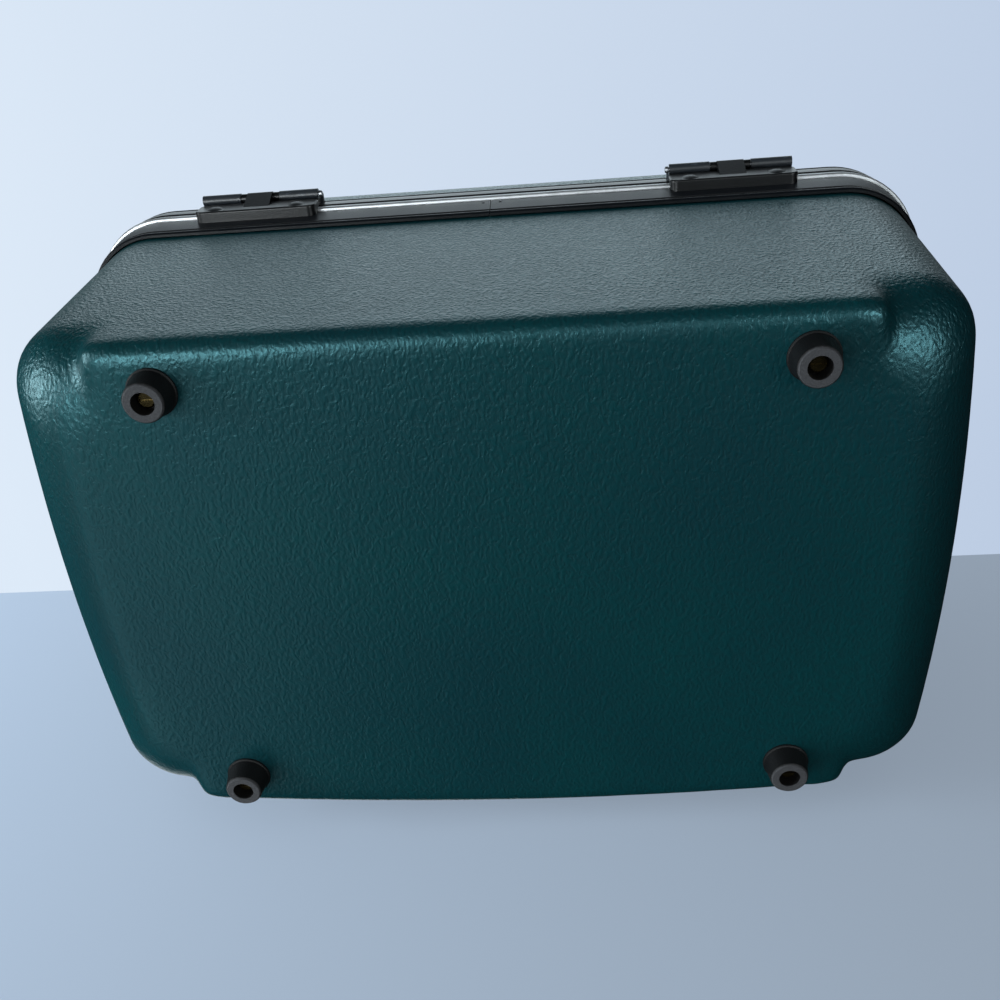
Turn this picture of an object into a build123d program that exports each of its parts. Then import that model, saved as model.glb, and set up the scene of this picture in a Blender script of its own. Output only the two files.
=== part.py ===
from build123d import *
import math
import os

os.makedirs("parts", exist_ok=True)

# A hard-shell train case: a deep moulded base on four rubber feet, a shallow moulded lid,
# an extruded frame round each rim, two rear hinges, two front latches and a folding handle.
# Millimetres. X runs along the case, the front is at -Y, the hinges are at +Y and Z is up.
# Z = 0 is the surface that the feet stand on.

# Body of the case. The wall line is the outside of the moulded walls where the frames start.
FLOOR_Z = 10.0
TOP_Z = 194.0
HALF_LENGTH = 176.6
REAR_Y = 107.3
FRONT_Y = 109.0
FRONT_BOW_RADIUS = 1541.0
END_BOW_RADIUS = 872.0
END_BOW_Y = 9.2
END_DRAFT = 0.068
SIDE_DRAFT = 0.031
WALL = 3.0
RIM_CORNER_RADIUS = 30.4
CORNER_TAPER = 0.075
ROLL_RADIUS = 26.0
CRISP_HALF_LENGTH = 133.5
CRISP_PROUD = 0.1
CRISP_RADIUS = 6.0
CRISP_END_RADIUS = 5.0

# Frames and parting line, from below upward. U is the distance outward from the wall line.
FRAME_LOW = 129.5
FRAME_HIGH = 165.2
BASE_RIM_Z = 141.5
LID_RIM_Z = 154.0
STRIP_LOW = 146.4
STRIP_HIGH = 148.6
TONGUE_HIGH = 151.4
PARTING_Z = 149.4
LID_FRAME_LOW = 150.3
FRAME_INNER_U = -4.9
CHANNEL_U = 0.6

# Feet.
FOOT_PLACES = [(x, y) for y in (-84.3, 86.7) for x in (-109.0, 109.0)]
FOOT_END_RADIUS = 7.2
FOOT_BASE_RADIUS = 8.8
FOOT_BORE_RADIUS = 4.1
FOOT_WEB_Z = 6.0
SCREW_RADIUS = 1.9

# Hinges. The base's leaf reaches over the parting line to a pin behind the lid's frame.
HINGE_X = 100.8
HINGE_HALF_WIDTH = 26.0
HINGE_AXIS_Y = REAR_Y + 8.6
HINGE_AXIS_Z = 154.6
HINGE_FACE_Y = REAR_Y + 7.4
BARREL_RADIUS = 2.2
HINGE_PIN_RADIUS = 1.0
HINGE_PIN_HEAD_RADIUS = 1.4
KNUCKLE_HALF = 5.5
SPACER_LENGTH = 2.8
SPACER_RADIUS = 1.9
LEAF_LOW = 139.5
LEAF_HIGH = 152.0
LEAF_BRIDGE_U = 4.5
LEAF_CORNER = 3.2
LEAF_RIVET_Z = 143.8
LID_LEAF_LOW = 157.2
LID_LEAF_HIGH = 165.0
LID_RIVET_Z = 161.1
RIVET_X = 17.6
LEAF_RIVET_RADIUS = 3.6
LID_RIVET_RADIUS = 3.0
RIVET_HEAD_HEIGHT = 0.9
RIVET_SHANK_RADIUS = 1.5
RUNNING_FIT = 0.06

# Latches. D is the distance forward from the wall line at the middle of the latch.
LATCH_X = 100.0
LATCH_HALF_WIDTH = 29.0
LATCH_PLATE_D = 6.6
HASP_AXIS_D = 8.6
HASP_AXIS_Z = 137.2
HASP_HALF_WIDTH = 8.0
HASP_PIN_RADIUS = 1.1
HASP_EYE_RADIUS = 2.6
HOOK_BITE = 0.7
RIDGE_D = 6.55
LOCK_X = -17.0
LOCK_Z = 141.0
LOCK_RADIUS = 3.6

# Handle.
HANDLE_PIVOT_Z = TOP_Z + 9.5
HANDLE_REACH = 31.0
HANDLE_PIN_RADIUS = 2.0

# Lining, tray and mirror.
LINING = 1.8
LINING_GAP = 0.3
GLUE_GAP = 0.05
LINING_FLOOR_Z = 17.2
LINING_HIGH = 131.6
LID_LINING_LOW = 163.0
TRAY_LOW = 96.0
TRAY_HIGH = 141.0
TRAY_HALF_LENGTH = 159.0
TRAY_HALF_DEPTH = 90.0
TRAY_CORNER = 31.0
TRAY_WALL = 2.2
MIRROR_HALF_LENGTH = 98.0
MIRROR_HALF_DEPTH = 62.0
MIRROR_THICK = 3.0


def block(x0, x1, y0, y1, z0, z1):
    """Box between two corners."""
    middle = ((x0 + x1) / 2, (y0 + y1) / 2, (z0 + z1) / 2)
    return Pos(*middle) * Box(abs(x1 - x0), abs(y1 - y0), abs(z1 - z0))


def rod_x(x0, x1, y, z, radius):
    """Cylinder along X."""
    return Pos((x0 + x1) / 2, y, z) * Rot(0, 90, 0) * Cylinder(radius, abs(x1 - x0))


def rod_y(x, y0, y1, z, radius):
    """Cylinder along Y."""
    return Pos(x, (y0 + y1) / 2, z) * Rot(90, 0, 0) * Cylinder(radius, abs(y1 - y0))


def mirrored(shape):
    """The same shape on the other side of the middle of the case."""
    return mirror(shape, about=Plane.YZ)


def edges_near(shape, test):
    return [e for e in shape.edges() if test(e.center())]


def front_set_back(x):
    """How far the bowed front has fallen back at a distance x from the middle."""
    return FRONT_BOW_RADIUS - math.sqrt(FRONT_BOW_RADIUS**2 - x**2)


def end_set_back(y):
    """How far a bowed end wall has fallen back at a place y."""
    return END_BOW_RADIUS - math.sqrt(END_BOW_RADIUS**2 - (y - END_BOW_Y) ** 2)


def outline(inset, radius, end_inset=0.0, side_inset=0.0):
    """Outline of the case from above. It starts at the middle of the rear."""
    half = HALF_LENGTH - inset - end_inset
    rear = REAR_Y - inset - side_inset
    front = -(FRONT_Y - inset - side_inset)
    rear_x = half - end_set_back(rear)
    front_x = half - end_set_back(front + front_set_back(half))
    corner = front + front_set_back(front_x)
    wire = Wire(
        [
            Line((0, rear), (rear_x, rear)).edge(),
            ThreePointArc((rear_x, rear), (half, END_BOW_Y), (front_x, corner)).edge(),
            ThreePointArc((front_x, corner), (0, front), (-front_x, corner)).edge(),
            ThreePointArc((-front_x, corner), (-half, END_BOW_Y), (-rear_x, rear)).edge(),
            Line((-rear_x, rear), (0, rear)).edge(),
        ]
    )
    if radius > 0:
        corners = [v for v in wire.vertices() if abs(v.X) > 1]
        wire = wire.fillet_2d(radius, corners)
    return wire


def level(height, high, inset, set_in=0.0):
    """Rounded outline of a moulding at a height, where the wall line is at the height high."""
    below = max(high - height, 0)
    radius = RIM_CORNER_RADIUS - CORNER_TAPER * below - inset
    wire = outline(inset, radius, END_DRAFT * below + set_in, SIDE_DRAFT * below + set_in)
    return Pos(0, 0, height) * Face(wire)


def rolled_body(depth, high, inset):
    """Tapered body whose floor rolls up into the walls, with a ball at each corner."""
    roll = ROLL_RADIUS - inset
    levels = []
    for degrees in (0, 14, 28, 44, 60, 76, 90):
        angle = math.radians(degrees)
        height = roll * (1 - math.cos(angle))
        levels.append(level(height, high, inset, roll * (1 - math.sin(angle))))
    wall = loft([level(roll, high, inset), level(high, high, inset)], ruled=True)
    rim = extrude(level(high, high, inset), depth - high, dir=(0, 0, 1))
    return loft(levels) + wall + rim


def crisp_middle(high, inset):
    """Middle of a moulding, whose long floor edges stay crisp between the ball corners."""
    half = CRISP_HALF_LENGTH - inset
    proud = inset - CRISP_PROUD
    floor = Face(outline(proud, 0, END_DRAFT * high, SIDE_DRAFT * high))
    rim = Pos(0, 0, high) * Face(outline(proud, 0))
    middle = loft([floor, rim], ruled=True) & block(-half, half, -200, 200, -1, high)
    long_edges = edges_near(middle, lambda c: c.Z < 0.5 and abs(c.Y) > 80)
    middle = fillet(long_edges, CRISP_RADIUS - inset)
    ends = edges_near(middle, lambda c: abs(abs(c.X) - half) < 0.1 and c.Z < high - 1)
    return fillet(ends, CRISP_END_RADIUS - inset)


def stepped_body(depth, high, inset):
    """Rolled body with the crisp middle, which ends in a step at each ball corner."""
    return rolled_body(depth, high, inset) + crisp_middle(high, inset)


def moulding(depth, high):
    """One hollow half of the case, its floor at 0 and its rim at depth."""
    return stepped_body(depth, high, 0) - Pos(0, 0, WALL) * stepped_body(depth, high, WALL)


def lining(depth, high, lift, top):
    """Padded lining that follows the inside of a moulding up to a height."""
    outer = WALL + LINING_GAP
    skin = Pos(0, 0, lift) * rolled_body(depth, high, outer)
    skin -= Pos(0, 0, lift + LINING) * rolled_body(depth, high, outer + LINING)
    return skin & block(-200, 200, -200, 200, 0, top)


BASE_DEPTH = BASE_RIM_Z - FLOOR_Z
BASE_HIGH = FRAME_LOW - FLOOR_Z
LID_DEPTH = TOP_Z - LID_RIM_Z
LID_HIGH = TOP_Z - FRAME_HIGH


def on_base(shape):
    """Place a moulding whose floor is the bottom of the case."""
    return Pos(0, 0, FLOOR_Z) * shape


def on_lid(shape):
    """Turn a moulding over, so that its floor is the top of the case."""
    return Pos(0, 0, TOP_Z) * mirror(shape, about=Plane.XY)


def base_shell():
    shell = on_base(moulding(BASE_DEPTH, BASE_HIGH))
    for x, y in FOOT_PLACES:
        shell -= Pos(x, y, FLOOR_Z) * Cylinder(SCREW_RADIUS + 0.1, 12)
    return shell


def lid_shell():
    shell = on_lid(moulding(LID_DEPTH, LID_HIGH))
    for x, y in HANDLE_SCREWS:
        shell -= Pos(x, y, TOP_Z) * Cylinder(SCREW_RADIUS + 0.1, 12)
    return shell


def frame_ring(section):
    """Sweep a section, drawn in U and Z, round the wall line."""
    path = outline(0, RIM_CORNER_RADIUS)
    outward = (path % 0).rotate(Axis.Z, 90)
    if outward.dot(path @ 0) < 0:
        outward = -outward
    start = Plane(origin=path @ 0, x_dir=outward, z_dir=outward.cross(Vector(0, 0, 1)))
    return sweep(start * make_face(section), path=path)


def base_frame_outside():
    """Outer side of the base's frame: bead, groove and bulging band."""
    return [
        Line((CHANNEL_U, FRAME_LOW), (1.6, FRAME_LOW)),
        ThreePointArc((1.6, FRAME_LOW), (2.3, 130.8), (1.6, 132.1)),
        Polyline((1.6, 132.1), (1.1, 132.5), (1.1, 133.4), (2.2, 133.9)),
        ThreePointArc((2.2, 133.9), (2.9, 139.6), (3.2, 145.3)),
        Polyline((3.2, 145.3), (2.8, 145.8), (2.8, STRIP_LOW)),
    ]


def base_frame_section():
    """The outer side, closed by a web on top and a channel for the shell's rim."""
    return base_frame_outside() + [
        Polyline(
            (2.8, STRIP_LOW),
            (FRAME_INNER_U, STRIP_LOW),
            (FRAME_INNER_U, 132.0),
            (-3.7, 132.0),
            (-3.7, 142.2),
            (CHANNEL_U, 142.2),
            (CHANNEL_U, FRAME_LOW),
        ),
    ]


def strip_nose():
    """Rounded nose of the bright strip, from its lower to its upper side."""
    return ThreePointArc((3.8, STRIP_LOW), (4.5, 147.5), (3.8, STRIP_HIGH))


def strip_section():
    """Bright strip with a rounded nose, and the tongue that enters the lid's frame."""
    return [
        Line((-3.0, STRIP_LOW), (3.8, STRIP_LOW)),
        strip_nose(),
        Polyline(
            (3.8, STRIP_HIGH),
            (-1.1, STRIP_HIGH),
            (-1.4, TONGUE_HIGH),
            (-2.2, TONGUE_HIGH),
            (-2.4, STRIP_HIGH),
            (-3.0, STRIP_HIGH),
            (-3.0, STRIP_LOW),
        ),
    ]


def lid_frame_outside():
    """Outer side of the lid's frame: lip, groove, band and rolled upper edge."""
    return [
        Polyline(
            (-0.4, LID_FRAME_LOW),
            (3.0, LID_FRAME_LOW),
            (3.5, 150.9),
            (3.5, 153.0),
            (2.8, 153.4),
            (2.8, 154.0),
            (3.8, 154.5),
        ),
        ThreePointArc((3.8, 154.5), (3.6, 158.6), (3.1, 162.4)),
        Polyline((3.1, 162.4), (2.4, 162.7), (2.4, 163.1), (2.8, 163.4)),
        ThreePointArc((2.8, 163.4), (3.1, 164.4), (2.4, FRAME_HIGH)),
        Line((2.4, FRAME_HIGH), (CHANNEL_U, FRAME_HIGH)),
    ]


def lid_frame_section():
    """The outer side, closed by channels for the lid above and for the tongue below."""
    return lid_frame_outside() + [
        Polyline(
            (CHANNEL_U, FRAME_HIGH),
            (CHANNEL_U, 153.6),
            (-3.7, 153.6),
            (-3.7, 162.6),
            (FRAME_INNER_U, 162.6),
            (FRAME_INNER_U, LID_FRAME_LOW),
            (-3.8, LID_FRAME_LOW),
            (-3.4, 152.9),
            (-0.6, 152.9),
            (-0.4, LID_FRAME_LOW),
        ),
    ]


def frame_envelope():
    """Both frames and the strip filled solid inward, to shape what is riveted on them."""
    depth = -12.0
    base = base_frame_outside() + [
        Polyline((2.8, STRIP_LOW), (depth, STRIP_LOW), (depth, FRAME_LOW), (CHANNEL_U, FRAME_LOW))
    ]
    lid = lid_frame_outside() + [
        Polyline(
            (CHANNEL_U, FRAME_HIGH), (depth, FRAME_HIGH), (depth, LID_FRAME_LOW), (-0.4, LID_FRAME_LOW)
        )
    ]
    strip = [
        Line((depth, STRIP_LOW), (3.8, STRIP_LOW)),
        strip_nose(),
        Polyline((3.8, STRIP_HIGH), (depth, STRIP_HIGH), (depth, STRIP_LOW)),
    ]
    return Compound([frame_ring(section) for section in (base, strip, lid)])


def butt_seam(frame):
    """Cut the joint of the extrusion at the rear and the two dimples that stake it."""
    frame -= block(-0.15, 0.15, REAR_Y - 8, REAR_Y + 6, FRAME_LOW - 1, STRIP_LOW + 1)
    for x in (-4.0, 3.2):
        frame -= rod_y(x, REAR_Y + 2.7, REAR_Y + 6, 141.5, 0.7)
    return frame


def foot(x, y):
    """Tapered rubber foot with a deep bore for its screw and a rounded wearing edge."""
    profile = Polyline(
        (FOOT_BORE_RADIUS, 0),
        (FOOT_END_RADIUS - 0.7, 0),
        (FOOT_END_RADIUS, 0.8),
        (FOOT_BASE_RADIUS - 0.5, FLOOR_Z - 1.2),
        (FOOT_BASE_RADIUS, FLOOR_Z - 0.8),
        (FOOT_BASE_RADIUS, FLOOR_Z),
        (SCREW_RADIUS + 0.1, FLOOR_Z),
        (SCREW_RADIUS + 0.1, FOOT_WEB_Z),
        (FOOT_BORE_RADIUS, FOOT_WEB_Z),
        (FOOT_BORE_RADIUS, 0),
    )
    body = revolve(Plane.XZ * make_face(profile), axis=Axis.Z)
    return Pos(x, y, 0) * body


def foot_screws():
    """Four pan-head screws, heads up inside the bores of the feet."""
    screws = []
    for x, y in FOOT_PLACES:
        head = Pos(0, 0, FOOT_WEB_Z - 1.1) * Cylinder(3.4, 2.2)
        head = chamfer(edges_near(head, lambda c: c.Z < FOOT_WEB_Z - 2), 0.8)
        head -= Pos(0, 0, FOOT_WEB_Z - 2.0) * Box(5.0, 0.8, 1.0)
        shank = Pos(0, 0, (FOOT_WEB_Z + LINING_FLOOR_Z - 0.4) / 2)
        shank *= Cylinder(SCREW_RADIUS, LINING_FLOOR_Z - 0.4 - FOOT_WEB_Z)
        screws.append(Pos(x, y, 0) * (head + shank))
    return Compound(screws)


def foot_nuts():
    """A washer and a hexagonal nut on each foot screw, under the lining."""
    nuts = []
    for x, y in FOOT_PLACES:
        washer = Pos(0, 0, FLOOR_Z + WALL + 0.4) * Cylinder(6.0, 0.8)
        nut = extrude(Pos(0, 0, FLOOR_Z + WALL + 0.8) * RegularPolygon(3.9, 6), 2.6)
        nuts.append(Pos(x, y, 0) * (washer + nut - Cylinder(SCREW_RADIUS, 60)))
    return Compound(nuts)


def hinge_rivets(z, head_radius):
    """Four flat-domed rivets of the two hinges at one height."""
    ball = (head_radius**2 + RIVET_HEAD_HEIGHT**2) / (2 * RIVET_HEAD_HEIGHT)
    rivets = []
    for hinge in (-HINGE_X, HINGE_X):
        for offset in (-RIVET_X, RIVET_X):
            dome = Pos(0, 0, RIVET_HEAD_HEIGHT - ball) * Sphere(ball)
            dome &= Pos(0, 0, 1) * Box(20, 20, 2)
            length = HINGE_FACE_Y - REAR_Y - FRAME_INNER_U + 0.8
            shank = Pos(0, 0, -length / 2) * Cylinder(RIVET_SHANK_RADIUS, length)
            rivets.append(Pos(hinge + offset, HINGE_FACE_Y, z) * Rot(-90, 0, 0) * (dome + shank))
    return Compound(rivets)


def rivet_holes(z):
    """Holes for the rivets of both hinges at one height."""
    places = [hinge + offset for hinge in (-HINGE_X, HINGE_X) for offset in (-RIVET_X, RIVET_X)]
    rods = [rod_y(x, REAR_Y - 9, REAR_Y + 9, z, RIVET_SHANK_RADIUS + 0.02) for x in places]
    return Compound(rods)


def leaf_plate(low, high):
    """Rounded plate of a hinge leaf, which stands on the bulging band behind it."""
    left = HINGE_X - HINGE_HALF_WIDTH
    right = HINGE_X + HINGE_HALF_WIDTH
    plate = block(left, right, REAR_Y + 0.8, HINGE_FACE_Y, low, high)
    corners = plate.edges().filter_by(Axis.Y)
    plate = fillet(corners, LEAF_CORNER)
    return fillet(plate.faces().sort_by(Axis.Y)[-1].edges(), 0.8)


def knuckle(x0, x1, low, high):
    """Barrel round the pin, joined by a sloping gusset to a leaf's face."""
    root = Line((HINGE_FACE_Y - 1.2, low), (HINGE_FACE_Y - 1.2, high))
    barrel = Pos(HINGE_AXIS_Y, HINGE_AXIS_Z) * Circle(BARREL_RADIUS)
    section = make_hull(root.edges() + barrel.edges())
    return Pos(x0, 0, 0) * extrude(Plane.YZ * section, x1 - x0)


def base_leaf(envelope):
    """Lower leaf, which bridges the strip and the lid's lip, with the middle knuckle."""
    leaf = leaf_plate(LEAF_LOW, LEAF_HIGH) - envelope
    leaf -= block(0, 200, REAR_Y, REAR_Y + LEAF_BRIDGE_U, PARTING_Z - 0.3, 160)
    leaf += knuckle(
        HINGE_X - KNUCKLE_HALF, HINGE_X + KNUCKLE_HALF, LEAF_LOW + 0.8, LEAF_HIGH - 0.5
    )
    leaf -= hinge_bore(HINGE_PIN_RADIUS + 0.01)
    return leaf - rivet_holes(LEAF_RIVET_Z)


def lid_leaf(envelope):
    """Upper leaf with the two outer barrels."""
    leaf = leaf_plate(LID_LEAF_LOW, LID_LEAF_HIGH) - envelope
    inner = KNUCKLE_HALF + SPACER_LENGTH + 0.3
    outer = HINGE_HALF_WIDTH - 0.6
    for x0, x1 in ((inner, outer), (-outer, -inner)):
        leaf += knuckle(HINGE_X + x0, HINGE_X + x1, LID_LEAF_LOW + 0.3, LID_LEAF_LOW + 2.4)
    leaf -= hinge_bore(HINGE_PIN_RADIUS + RUNNING_FIT)
    return leaf - rivet_holes(LID_RIVET_Z)


def hinge_bore(radius):
    """Bore for the pin through the whole width of the right-hand hinge."""
    return rod_x(HINGE_X - 30, HINGE_X + 30, HINGE_AXIS_Y, HINGE_AXIS_Z, radius)


def hinge_pin():
    """Pin with its peened head at the inner end, just past the barrel."""
    barrel_end = HINGE_HALF_WIDTH - 0.6
    start = HINGE_X - barrel_end - 0.5
    pin = rod_x(start, HINGE_X + barrel_end, HINGE_AXIS_Y, HINGE_AXIS_Z, HINGE_PIN_RADIUS)
    head = rod_x(start - 1.3, start, HINGE_AXIS_Y, HINGE_AXIS_Z, HINGE_PIN_HEAD_RADIUS)
    head = fillet(edges_near(head, lambda c: c.X < start - 1.2), 0.6)
    return pin + head


def hinge_spacers():
    """Four sleeves that keep the barrels off the middle knuckles."""
    sleeves = []
    for hinge in (-HINGE_X, HINGE_X):
        for way in (-1, 1):
            start = KNUCKLE_HALF + 0.15
            end = KNUCKLE_HALF + SPACER_LENGTH
            x0, x1 = hinge + way * start, hinge + way * end
            sleeve = rod_x(x0, x1, HINGE_AXIS_Y, HINGE_AXIS_Z, SPACER_RADIUS)
            bore = HINGE_PIN_RADIUS + 0.01
            sleeve -= rod_x(hinge - 12, hinge + 12, HINGE_AXIS_Y, HINGE_AXIS_Z, bore)
            sleeves.append(sleeve)
    return Compound(sleeves)


LATCH_WALL_Y = -(FRONT_Y - front_set_back(LATCH_X))


def latch_block(x0, x1, d0, d1, z0, z1):
    """Box in a latch's own measures: X from its middle and D forward of the wall line."""
    return block(LATCH_X + x0, LATCH_X + x1, LATCH_WALL_Y - d0, LATCH_WALL_Y - d1, z0, z1)


def latch_rod_x(x0, x1, d, z, radius):
    return rod_x(LATCH_X + x0, LATCH_X + x1, LATCH_WALL_Y - d, z, radius)


def latch_rod_y(x, d0, d1, z, radius):
    return rod_y(LATCH_X + x, LATCH_WALL_Y - d0, LATCH_WALL_Y - d1, z, radius)


def rounded_plate(x_half, d_face, z0, z1, corner, edge):
    """Plate that stands on the frame, its corners and its front edge rounded."""
    plate = latch_block(-x_half, x_half, -3, d_face, z0, z1)
    plate = fillet(plate.edges().filter_by(Axis.Y), corner)
    return fillet(plate.faces().sort_by(Axis.Y)[0].edges(), edge)


def latch_body(envelope):
    """Cast body on the base's frame, with ears for the hasp, a track and a lock boss."""
    body = rounded_plate(LATCH_HALF_WIDTH, LATCH_PLATE_D, 134.5, STRIP_HIGH, 4.0, 1.0)
    axis = (-(LATCH_WALL_Y - HASP_AXIS_D), HASP_AXIS_Z)
    root = Line((axis[0] - 3.4, 134.9), (axis[0] - 3.4, 143.5))
    ear = make_hull(root.edges() + (Pos(*axis) * Circle(3.0)).edges())
    for x0 in (-HASP_HALF_WIDTH - 3.4, HASP_HALF_WIDTH + 0.4):
        solid = extrude(Plane.YZ * mirror(ear, about=Plane.YZ), 3.0)
        body += Pos(LATCH_X + x0, 0, 0) * solid
    body -= latch_block(-HASP_HALF_WIDTH - 0.4, HASP_HALF_WIDTH + 0.4, 5.5, 30, 130, 150)
    body -= latch_rod_x(-20, 20, HASP_AXIS_D, HASP_AXIS_Z, HASP_PIN_RADIUS + 0.01)
    track = latch_block(11.7, 24.0, 6.0, 12, 138.4, 146.2)
    body -= track
    body -= latch_block(14.1, 21.3, 4.6, 12, 141.1, 143.5)
    body += latch_rod_y(LOCK_X, 4.0, 8.2, LOCK_Z, LOCK_RADIUS + 1.5)
    body -= latch_rod_y(LOCK_X, 4.6, 12, LOCK_Z, LOCK_RADIUS + RUNNING_FIT)
    body -= envelope
    for x in (-26.0, 26.0):
        body -= latch_rod_y(x, -9, 12, LOCK_Z, RIVET_SHANK_RADIUS + 0.02)
    return body


def hasp():
    """Hinged hasp: an eye on the pin, a plate, a hooked tooth and a lifted finger lip."""
    axis = -(LATCH_WALL_Y - HASP_AXIS_D)
    back = axis - 1.0
    face = axis + 1.9
    profile = [
        Polyline(
            (axis, HASP_AXIS_Z),
            (back, HASP_AXIS_Z),
            (back, 155.9),
            (back - HOOK_BITE, 155.9),
            (back - HOOK_BITE, 157.3),
            (back, 158.0),
            (back, 159.6),
            (face - 0.6, 162.4),
            (face + 0.6, 161.8),
            (face, 158.8),
        ),
        ThreePointArc((face, 158.8), (face + 1.8, 148.5), (face, HASP_AXIS_Z)),
        Line((face, HASP_AXIS_Z), (axis, HASP_AXIS_Z)),
    ]
    side = Plane.YZ * mirror(make_face(profile), about=Plane.YZ)
    plate = Pos(LATCH_X, 0, 0) * extrude(side, HASP_HALF_WIDTH, both=True)
    eye = latch_rod_x(-HASP_HALF_WIDTH, HASP_HALF_WIDTH, HASP_AXIS_D, HASP_AXIS_Z, HASP_EYE_RADIUS)
    bore = HASP_PIN_RADIUS + RUNNING_FIT
    return plate + eye - latch_rod_x(-20, 20, HASP_AXIS_D, HASP_AXIS_Z, bore)


def hasp_pin():
    return latch_rod_x(-11.3, 11.3, HASP_AXIS_D, HASP_AXIS_Z, HASP_PIN_RADIUS)


def keeper(envelope):
    """Plate on the lid's frame with the ridge that the hasp's tooth hooks over."""
    plate = rounded_plate(13.5, 6.0, 151.2, 162.0, 2.5, 0.7) - envelope
    ridge = latch_block(-HASP_HALF_WIDTH, HASP_HALF_WIDTH, 5.0, RIDGE_D, 152.4, 155.4)
    ridge = fillet(ridge.edges().filter_by(Axis.X).sort_by(Axis.Y)[:2], 0.4)
    plate += ridge
    for x in (-10.8, 10.8):
        plate -= latch_rod_y(x, -9, 12, 156.6, 1.02)
    return plate


def latch_button():
    """Sliding thumb piece with grooves across its face and a stem in the track."""
    pad = latch_block(12.1, 19.7, 6.3, 9.6, 138.8, 145.8)
    pad = fillet(pad.edges().filter_by(Axis.Y), 1.5)
    pad = fillet(pad.faces().sort_by(Axis.Y)[0].edges(), 0.7)
    for x in (14.3, 15.9, 17.5):
        pad -= latch_block(x - 0.35, x + 0.35, 9.1, 10, 137, 147)
    stem = latch_block(14.4, 16.6, 4.9, 6.5, 141.4, 143.2)
    return pad + stem


def lock_cylinder():
    """Key cylinder with its slot."""
    plug = latch_rod_y(LOCK_X, 4.9, 8.6, LOCK_Z, LOCK_RADIUS)
    plug = fillet(edges_near(plug, lambda c: c.Y < LATCH_WALL_Y - 8.5), 0.5)
    return plug - latch_block(LOCK_X - 0.5, LOCK_X + 0.5, 6.8, 9, LOCK_Z - 2.1, LOCK_Z + 2.1)


def front_rivet(x, d, z, head, shank, length):
    """Small domed rivet with its head at the front."""
    dome = Pos(0, 0, -0.6 * head) * Sphere(1.17 * head) & Pos(0, 0, 1) * Box(9, 9, 2)
    rod = Pos(0, 0, -length / 2) * Cylinder(shank, length)
    return Pos(x, LATCH_WALL_Y - d, z) * Rot(90, 0, 0) * (dome + rod)


def latch_rivets():
    """Two rivets through each latch body."""
    places = [way * LATCH_X + offset for way in (-1, 1) for offset in (-26.0, 26.0)]
    return Compound(
        [front_rivet(x, LATCH_PLATE_D, LOCK_Z, 2.0, RIVET_SHANK_RADIUS, 12.0) for x in places]
    )


def keeper_rivets():
    """Two rivets through each keeper."""
    places = [way * LATCH_X + offset for way in (-1, 1) for offset in (-10.8, 10.8)]
    return Compound([front_rivet(x, 6.0, 156.6, 1.6, 1.0, 11.2) for x in places])


def latch_rivet_holes(z, offset, radius):
    places = [way * LATCH_X + side * offset for way in (-1, 1) for side in (-1, 1)]
    return Compound([rod_y(x, LATCH_WALL_Y - 9, LATCH_WALL_Y + 9, z, radius) for x in places])


HANDLE_SCREWS = [(x, y) for x in (-76.0, 76.0) for y in (-6.0, 6.0)]


def handle():
    """Moulded grip with two arms that end in eyes. It lies flat toward the front."""
    z = HANDLE_PIVOT_Z
    route = FilletPolyline(
        (57.0, 0, z), (54.5, -HANDLE_REACH, z), (-54.5, -HANDLE_REACH, z), (-57.0, 0, z), radius=15
    )
    start = Plane(origin=route @ 0, x_dir=(1, 0, 0), z_dir=route % 0)
    grip = sweep(start * Ellipse(6.8, 5.2), path=route)
    for way in (-1, 1):
        grip += rod_x(way * 51.5, way * 64.3, 0, z, 6.0)
        grip -= rod_x(way * 55.0, way * 70, 0, z, HANDLE_PIN_RADIUS + RUNNING_FIT)
    return grip


def handle_post():
    """Right-hand post: a foot plate on the lid and a round-headed lug."""
    foot_plate = block(63.0, 81.0, -11, 11, TOP_Z, TOP_Z + 2.4)
    foot_plate = fillet(foot_plate.edges().filter_by(Axis.Z), 4.0)
    foot_plate = fillet(foot_plate.faces().sort_by(Axis.Z)[-1].edges(), 0.8)
    root = Line((-7.5, TOP_Z + 1), (7.5, TOP_Z + 1))
    lug = make_hull(root.edges() + (Pos(0, HANDLE_PIVOT_Z) * Circle(5.6)).edges())
    post = foot_plate + Pos(64.8, 0, 0) * extrude(Plane.YZ * lug, 6.2)
    post -= rod_x(60, 69.5, 0, HANDLE_PIVOT_Z, HANDLE_PIN_RADIUS + 0.01)
    for x, y in HANDLE_SCREWS:
        post -= Pos(x, y, TOP_Z) * Cylinder(SCREW_RADIUS + 0.05, 12)
    return post


def handle_pin():
    return rod_x(55.4, 69.4, 0, HANDLE_PIVOT_Z, HANDLE_PIN_RADIUS)


def handle_screws():
    """Four screws that hold the posts to the lid."""
    screws = []
    for x, y in HANDLE_SCREWS:
        head = Pos(0, 0, -1.9) * Sphere(3.6) & Pos(0, 0, 1) * Box(9, 9, 2)
        head -= Pos(0, 0, 1.6) * Box(0.8, 8, 1.2)
        shank = Pos(0, 0, -2.7) * Cylinder(SCREW_RADIUS, 5.4)
        screws.append(Pos(x, y, TOP_Z + 2.4) * (head + shank))
    return Compound(screws)


def base_lining():
    lift = LINING_FLOOR_Z - FLOOR_Z
    return on_base(lining(BASE_DEPTH, BASE_HIGH, lift, LINING_HIGH - FLOOR_Z))


def lid_lining():
    lift = WALL + LINING_GAP
    return on_lid(lining(LID_DEPTH, LID_HIGH, lift, TOP_Z - LID_LINING_LOW))


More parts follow.
